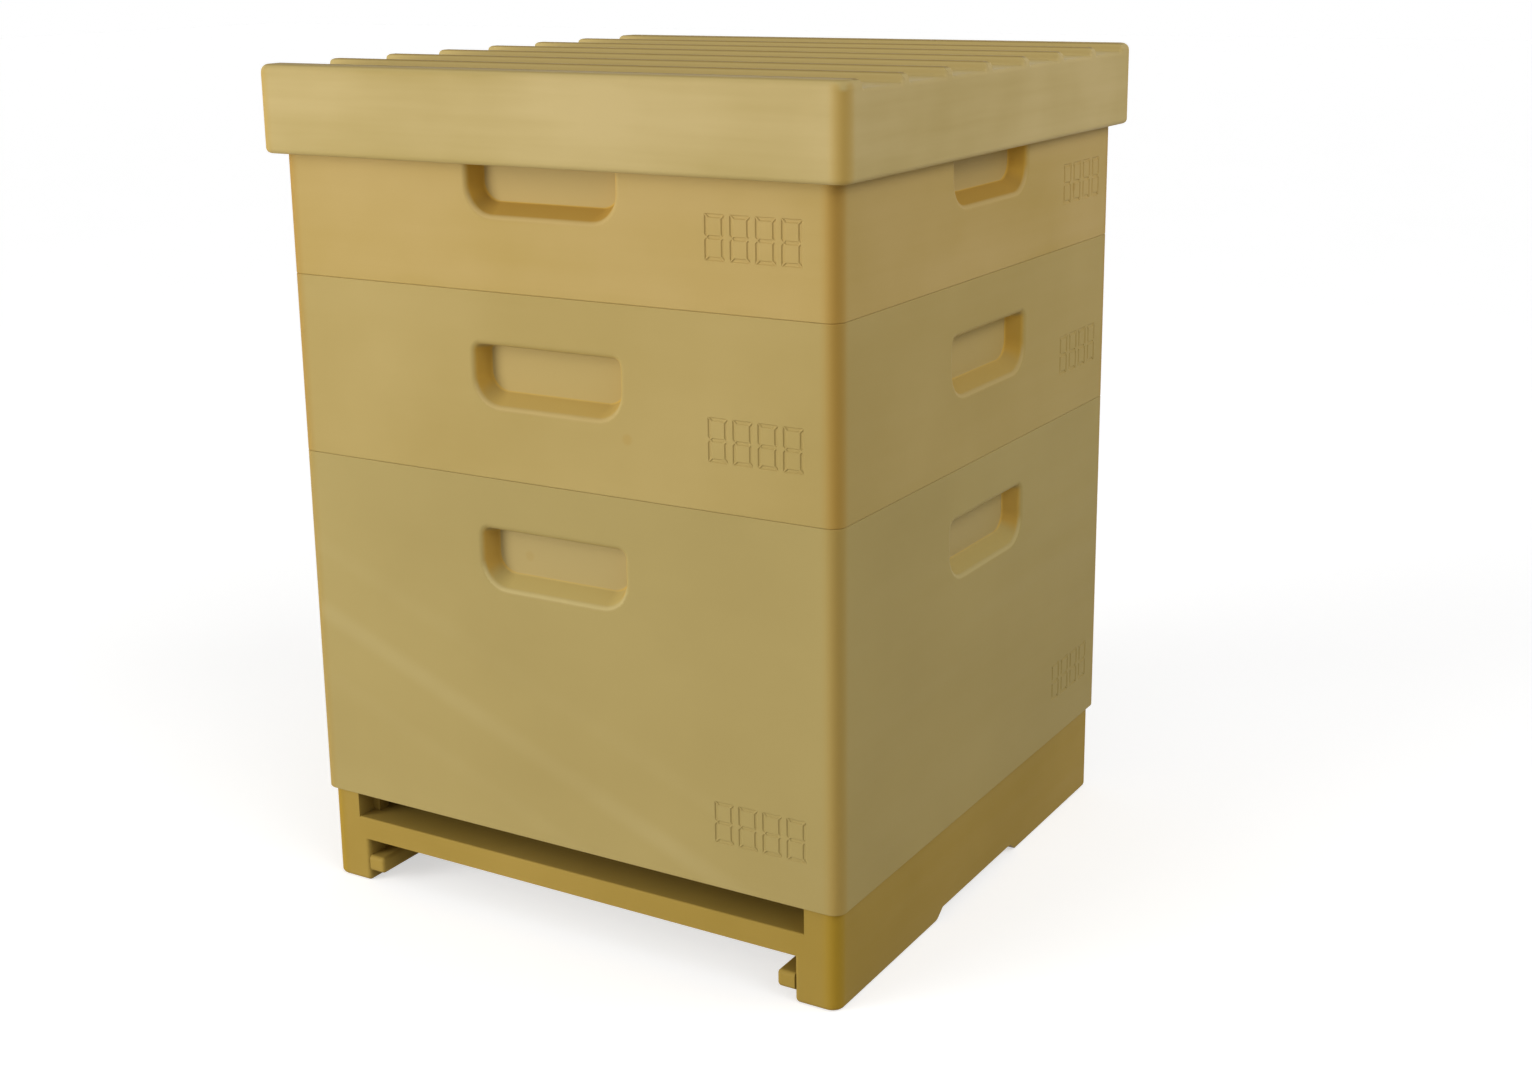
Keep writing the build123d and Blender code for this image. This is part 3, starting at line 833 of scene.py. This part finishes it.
def top_bar(top, reach):
    """A top bar, narrowed at each end to fit a fork and then cut back from below to a lug."""
    inside = FRAME_LENGTH / 2 - SIDE_BAR_THICKNESS
    half = TOP_BAR_WIDTH / 2
    under_lug = top - LUG_THICKNESS
    bar = block("top_bar", (-half, -inside, top - TOP_BAR_THICKNESS), (half, inside, top))
    cut(bar, (0, 0, under_lug), (0, 0, 1))
    for sign in (-1, 1):
        edit(bar, faces=lambda face: face.normal.y * sign > SQUARE_ON and face.center.y * sign > inside - MM)
        bpy.ops.mesh.inset(thickness=0, depth=0)
        bpy.ops.transform.resize(value=(LUG_WIDTH / TOP_BAR_WIDTH, 1, 1))
        bpy.ops.mesh.extrude_region_move(
            TRANSFORM_OT_translate={"value": (0, sign * SIDE_BAR_THICKNESS, 0)}
        )
        edit(
            bar,
            faces=lambda face: face.normal.y * sign > SQUARE_ON
            and face.center.y * sign > FRAME_LENGTH / 2 - MM
            and face.center.z > under_lug,
        )
        bpy.ops.mesh.extrude_region_move(
            TRANSFORM_OT_translate={"value": (0, sign * (reach - FRAME_LENGTH / 2), 0)}
        )
    ease_edges(bar, EASED_EDGE)
    set_grain(bar, "Y", shift=0.11)
    return bar


def side_bar(sign, top, bottom):
    """A side bar, broad below the top bar to space the frames, with a fork that holds the top bar."""
    inside = FRAME_LENGTH / 2 - SIDE_BAR_THICKNESS
    ends = sorted((sign * inside, sign * FRAME_LENGTH / 2))
    half = SIDE_BAR_WIDTH / 2
    foot = bottom + BOTTOM_BAR_THICKNESS
    fork = top - TOP_BAR_THICKNESS
    tip = top - FORK_DROP
    shoulder = fork - SPACER_HEIGHT
    bar = block("side_bar", (-half, ends[0], foot), (half, ends[1], tip))
    cut(bar, (0, 0, shoulder - SPACER_SLOPE), (0, 0, 1))
    cut(bar, (0, 0, shoulder), (0, 0, 1))
    edit(bar, points=lambda point: point.co.z > shoulder - MM)
    bpy.ops.transform.resize(value=(SPACER_WIDTH / SIDE_BAR_WIDTH, 1, 1))
    slot_half = LUG_WIDTH / 2
    take_out(bar, block("fork_notch", (-slot_half, ends[0] - MM, fork), (slot_half, ends[1] + MM, top)))
    ease_edges(bar, EASED_EDGE)
    set_grain(bar, "Z", shift=0.37 + 0.19 * sign)
    return bar


def bottom_bar(bottom):
    """The bar that closes a frame below."""
    half = SIDE_BAR_WIDTH / 2
    reach = FRAME_LENGTH / 2
    bar = block("bottom_bar", (-half, -reach, bottom), (half, reach, bottom + BOTTOM_BAR_THICKNESS))
    ease_edges(bar, EASED_EDGE)
    set_grain(bar, "Y", shift=0.83)
    return bar


def hang_frames(name):
    """Models one frame of a box and hangs a copy, each with its own grain, in every place."""
    low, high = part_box(f"{name}_frame_01")
    pattern = join(
        f"{name}_frame_pattern",
        [
            top_bar(high.z, high.y),
            side_bar(-1, high.z, low.z),
            side_bar(1, high.z, low.z),
            bottom_bar(low.z),
        ],
    )
    pattern.data.materials.append(LIMEWOOD)
    smooth(pattern)
    for number in range(1, FRAME_COUNT + 1):
        node = f"{name}_frame_{number:02d}"
        low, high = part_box(node)
        twin = copied(pattern, f"{name}_hung_frame_{number:02d}", ((low.x + high.x) / 2, 0, 0))
        for value in twin.data.attributes["grain"].data:
            value.vector = value.vector + NEXT_FRAME * number
        hand_over(twin, f"{name}_frames", node)
    discard(pattern)


for name in BOXES:
    hang_frames(name)


# Wax foundation

WAX_THICKNESS = 1.8 * MM
WAX_EDGE = 0.5 * MM
WAX_EDGE_SHARPNESS = 60
WAX_WARP = 0.9 * MM
WARP_SIZE = 140 * MM
WARP_STEPS = (16, 28)


def hang_wax(name):
    """Models one sheet of foundation, a little warped, and sets a copy in every frame of a box."""
    node = f"{name}_foundations"
    low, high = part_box(node)
    middle = (low + high) / 2
    start_fresh()
    bpy.ops.mesh.primitive_grid_add(
        x_subdivisions=WARP_STEPS[0],
        y_subdivisions=WARP_STEPS[1],
        size=1,
        location=(0, middle.y, middle.z),
        rotation=(0, math.pi / 2, 0),
    )
    bpy.context.object.scale = (high.z - low.z, high.y - low.y, 1)
    sheet = named("wax_pattern")
    warp = bpy.data.textures.new("wax_warp", "CLOUDS")
    warp.noise_scale = WARP_SIZE
    finish_modifier(
        sheet,
        "DISPLACE",
        texture=warp,
        texture_coords="LOCAL",
        direction="X",
        strength=WAX_WARP,
        mid_level=0.5,
    )
    finish_modifier(sheet, "SOLIDIFY", thickness=WAX_THICKNESS, offset=0.0)
    ease_edges(sheet, WAX_EDGE, WAX_EDGE_SHARPNESS)
    sheets = []
    for number in range(1, FRAME_COUNT + 1):
        frame_low, frame_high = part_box(f"{name}_frame_{number:02d}")
        turn = math.pi * (number % 2)
        sheets.append(copied(sheet, f"wax_{number:02d}", ((frame_low.x + frame_high.x) / 2, 0, 0), turn))
    discard(sheet)
    wax = join(f"{name}_wax_sheets", sheets)
    wax.data.materials.append(BEESWAX)
    smooth(wax)
    hand_over(wax, f"{name}_frames", node)


for name in BOXES:
    hang_wax(name)


# Floor mesh

WIRE_RADIUS = 0.3 * MM
WIRE_STEP = 3.0 * MM
WIRE_SIDES = 6
WIRE_SMOOTHING = 65


def floor_wire_mesh():
    """Welded wire mesh: two crossed layers of fine wire, one on the other."""
    low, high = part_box("floor_mesh")
    span = high - low
    count = int((span.x - 2 * WIRE_RADIUS) / WIRE_STEP) + 1
    first = -(count - 1) * WIRE_STEP / 2
    lower = low.z + WIRE_RADIUS
    upper = high.z - WIRE_RADIUS
    layers = []
    for axis, middle, step in (
        ("Y", (first, 0, lower), (WIRE_STEP, 0, 0)),
        ("X", (0, first, upper), (0, WIRE_STEP, 0)),
    ):
        wire = rod(f"mesh_wire_{axis}", WIRE_RADIUS, span.y, WIRE_SIDES, axis, middle)
        repeat(wire, count, step)
        layers.append(wire)
    mesh = join("floor_wire_mesh", layers)
    mesh.data.materials.append(STAINLESS_WIRE)
    smooth(mesh, WIRE_SMOOTHING)
    hand_over(mesh, "floor", "floor_mesh")


floor_wire_mesh()


# Excluder grid

ROD_RADIUS = 1.0 * MM
ROD_STEP = 6.25 * MM
ROD_SIDES = 10
ROD_EDGE = 0.3 * MM
ROD_EDGE_SHARPNESS = 60
ROD_SMOOTHING = 50
CROSS_RADIUS = 0.8 * MM
CROSS_COUNT = 7
CROSS_SINK = 0.1 * MM
RIM_LAP = 10 * MM


def excluder_wires():
    """Round rods close enough to stop a queen, with cross wires welded on top."""
    low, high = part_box("excluder_grid")
    span = high - low
    rod_count = int((span.x - 2 * ROD_RADIUS) / ROD_STEP) + 1
    first = -(rod_count - 1) * ROD_STEP / 2
    reach = span.y / 2 - RIM_LAP
    cross_step = 2 * reach / (CROSS_COUNT - 1)
    cross_level = high.z + CROSS_RADIUS - CROSS_SINK
    rods = rod("excluder_rods", ROD_RADIUS, span.y, ROD_SIDES, "Y", (first, 0, low.z + ROD_RADIUS))
    cross = rod("excluder_cross_wires", CROSS_RADIUS, 2 * reach, ROD_SIDES, "X", (0, -reach, cross_level))
    for wire, count, step in (
        (rods, rod_count, (ROD_STEP, 0, 0)),
        (cross, CROSS_COUNT, (0, cross_step, 0)),
    ):
        ease_edges(wire, ROD_EDGE, ROD_EDGE_SHARPNESS)
        repeat(wire, count, step)
    grid = join("excluder_wire_grid", [rods, cross])
    grid.data.materials.append(EXCLUDER_STEEL)
    smooth(grid, ROD_SMOOTHING)
    hand_over(grid, "excluder", "excluder_grid")


excluder_wires()


# Strip screws

HEAD_RADIUS = 3.2 * MM
HEAD_HEIGHT = 2.0 * MM
HEAD_EDGE = 0.2 * MM
SHANK_RADIUS = 1.5 * MM
SHANK_SIDES = 20
RECESS_LENGTH = 3.8 * MM
RECESS_WIDTH = 0.9 * MM
RECESS_DEPTH = 1.1 * MM

# Each screw stops this many radians further round than the last.
SCREW_TURN = 0.7

# Points nearer to each other than this, seen from above, are one screw's.
SCREW_REACH = 8 * MM


def screw_places():
    """The middle of each screw head, found from the screws' own points."""
    screws = []
    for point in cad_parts["strip_screws"].data.vertices:
        flat = point.co.xy
        for around in screws:
            if (around[0] - flat).length < SCREW_REACH:
                around.append(flat)
                break
        else:
            screws.append([flat])
    middles = []
    for around in screws:
        xs = [flat.x for flat in around]
        ys = [flat.y for flat in around]
        middles.append(((min(xs) + max(xs)) / 2, (min(ys) + max(ys)) / 2))
    return sorted(middles)


def countersunk_screw(low, high):
    """A countersunk screw with a cross recess, standing on the hive's axis."""
    neck = high - HEAD_HEIGHT
    screw = rod("screw_pattern", SHANK_RADIUS, neck - low, SHANK_SIDES, "Z", (0, 0, (low + neck) / 2))
    edit(screw, faces=lambda face: face.normal.z > SQUARE_ON)
    bpy.ops.mesh.extrude_region_move(TRANSFORM_OT_translate={"value": (0, 0, HEAD_HEIGHT)})
    grow = HEAD_RADIUS / SHANK_RADIUS
    bpy.ops.transform.resize(value=(grow, grow, 1))
    bpy.ops.mesh.bevel(offset=HEAD_EDGE, segments=1, affect="EDGES")
    for length, width in ((RECESS_LENGTH, RECESS_WIDTH), (RECESS_WIDTH, RECESS_LENGTH)):
        corner = Vector((length / 2, width / 2, RECESS_DEPTH))
        middle = Vector((0, 0, high))
        take_out(screw, block("recess", middle - corner, middle + corner))
    return screw


def fit_screws():
    """Drives a screw, turned its own way, into every place along the strips."""
    low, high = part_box("strip_screws")
    pattern = countersunk_screw(low.z, high.z)
    twins = []
    for number, (x, y) in enumerate(screw_places(), start=1):
        twins.append(copied(pattern, f"screw_{number:02d}", (x, y, 0), SCREW_TURN * number))
    discard(pattern)
    screws = join("strip_screw_set", twins)
    screws.data.materials.append(SCREW_ZINC)
    smooth(screws)
    hand_over(screws, "floor", "strip_screws")


fit_screws()


# Floor, light and camera

# Suns shine from their direction, spread over degrees. Lamps stand at a place, with a width and watts.
WHITE = linear("#FFFFFF")
FLOOR_SIZE = 30.0
FLOOR_DROP = 0.2 * MM
FLOOR_LIFT = 0.58
FLOOR_PATCHES_PER_METRE = 3.0
KEY_FROM = (-0.5, -0.78, 0.35)
KEY_STRENGTH = 1.15
FILL_FROM = (0.8, -0.3, 0.6)
FILL_STRENGTH = 0.76
SUN_SPREAD = 40
BOX_PLACE = (-1.75, -2.35, 0.45)
BOX_SIZE = 1.3
BOX_POWER = 42.0
SIDE_PLACE = (1.5, 0.35, 1.35)
SIDE_SIZE = 0.9
SIDE_POWER = 6.0
LAMP_AIM = (0, 0, 0.4)
ROOM_STRENGTH = 0.32


def rays_that_see(tree):
    """A mask that is 1 for rays from the camera, off a gloss or through glass, and 0 for those that light."""
    path = add_node(tree, "ShaderNodeLightPath").outputs
    seen = path["Is Camera Ray"]
    for ray in ("Is Glossy Ray", "Is Transmission Ray"):
        seen = add_node(tree, "ShaderNodeMath", {0: seen, 1: path[ray]}, operation="MAXIMUM").outputs[0]
    return seen


def studio_floor():
    """A plain pale floor that keeps the hive's shadow. The camera sees it a little lifted, to white."""
    start_fresh()
    bpy.ops.mesh.primitive_plane_add(size=FLOOR_SIZE, location=(0, 0, -FLOOR_DROP))
    floor = named("studio_floor")
    material, tree, shader = new_material("pale_studio_floor")
    place = add_node(tree, "ShaderNodeTexCoord").outputs["Object"]
    mottle = add_node(
        tree, "ShaderNodeTexNoise", {"Vector": place, "Scale": FLOOR_PATCHES_PER_METRE, "Detail": 2.0}
    ).outputs["Fac"]
    colour = add_node(
        tree,
        "ShaderNodeMix",
        {FACTOR: mottle, FIRST: linear("#D8D8D8"), SECOND: linear("#D4D4D4")},
        data_type="RGBA",
    )
    lift = add_node(tree, "ShaderNodeMath", {0: rays_that_see(tree), 1: FLOOR_LIFT}, operation="MULTIPLY")
    tree.links.new(colour.outputs[MIXED], shader.inputs["Base Color"])
    tree.links.new(lift.outputs[0], shader.inputs["Emission Strength"])
    shader.inputs["Emission Color"].default_value = WHITE
    shader.inputs["Roughness"].default_value = 0.9
    shader.inputs["Specular IOR Level"].default_value = 0.1
    floor.data.materials.append(material)


def studio_light():
    """Broad soft lights from the front left and right, a low soft box and a lamp beside the hive."""
    lights = []
    for name, direction, strength in (
        ("key_light", KEY_FROM, KEY_STRENGTH),
        ("fill_light", FILL_FROM, FILL_STRENGTH),
    ):
        sun = bpy.data.lights.new(name, "SUN")
        sun.energy = strength
        sun.angle = math.radians(SUN_SPREAD)
        lights.append((sun, direction, -Vector(direction)))
    for name, place, size, power in (
        ("soft_box", BOX_PLACE, BOX_SIZE, BOX_POWER),
        ("side_lamp", SIDE_PLACE, SIDE_SIZE, SIDE_POWER),
    ):
        lamp = bpy.data.lights.new(name, "AREA")
        lamp.shape = "DISK"
        lamp.size = size
        lamp.energy = power
        lights.append((lamp, place, Vector(LAMP_AIM) - Vector(place)))
    for lamp, place, aim in lights:
        light = bpy.data.objects.new(lamp.name, lamp)
        bpy.context.scene.collection.objects.link(light)
        light.location = place
        light.rotation_euler = aim.to_track_quat("-Z", "Y").to_euler()


def studio_room():
    """A pale room all round, which the camera sees as white."""
    world = bpy.data.worlds.new("pale_room")
    world.use_nodes = True
    tree = world.node_tree
    tree.nodes.clear()
    strength = add_node(
        tree, "ShaderNodeMapRange", {"Value": rays_that_see(tree), "To Min": ROOM_STRENGTH, "To Max": 1.0}
    ).outputs[0]
    background = add_node(tree, "ShaderNodeBackground", {"Color": WHITE, "Strength": strength})
    add_node(tree, "ShaderNodeOutputWorld", {"Surface": background.outputs[0]})
    bpy.context.scene.world = world


# The camera's place, its angles in degrees and its lens in millimetres
CAMERA_PLACE = (0.9393, -1.5062, 0.8094)
CAMERA_YAW = 30.711
CAMERA_PITCH = 14.028
CAMERA_ROLL = -0.647
CAMERA_LENS = 47.81
CAMERA_SHIFT = -0.06


def studio_camera():
    """The camera at the photograph's place, turned left, tipped down and rolled a little."""
    data = bpy.data.cameras.new("studio_camera")
    data.lens = CAMERA_LENS
    data.shift_y = CAMERA_SHIFT
    camera = bpy.data.objects.new("studio_camera", data)
    bpy.context.scene.collection.objects.link(camera)
    yaw = Matrix.Rotation(math.radians(CAMERA_YAW), 4, "Z")
    tip = Matrix.Rotation(math.radians(90 - CAMERA_PITCH), 4, "X")
    roll = Matrix.Rotation(math.radians(CAMERA_ROLL), 4, "Z")
    camera.matrix_world = Matrix.Translation(CAMERA_PLACE) @ yaw @ tip @ roll
    bpy.context.scene.camera = camera


studio_floor()
studio_light()
studio_room()
studio_camera()
bpy.context.scene.view_settings.view_transform = "Standard"
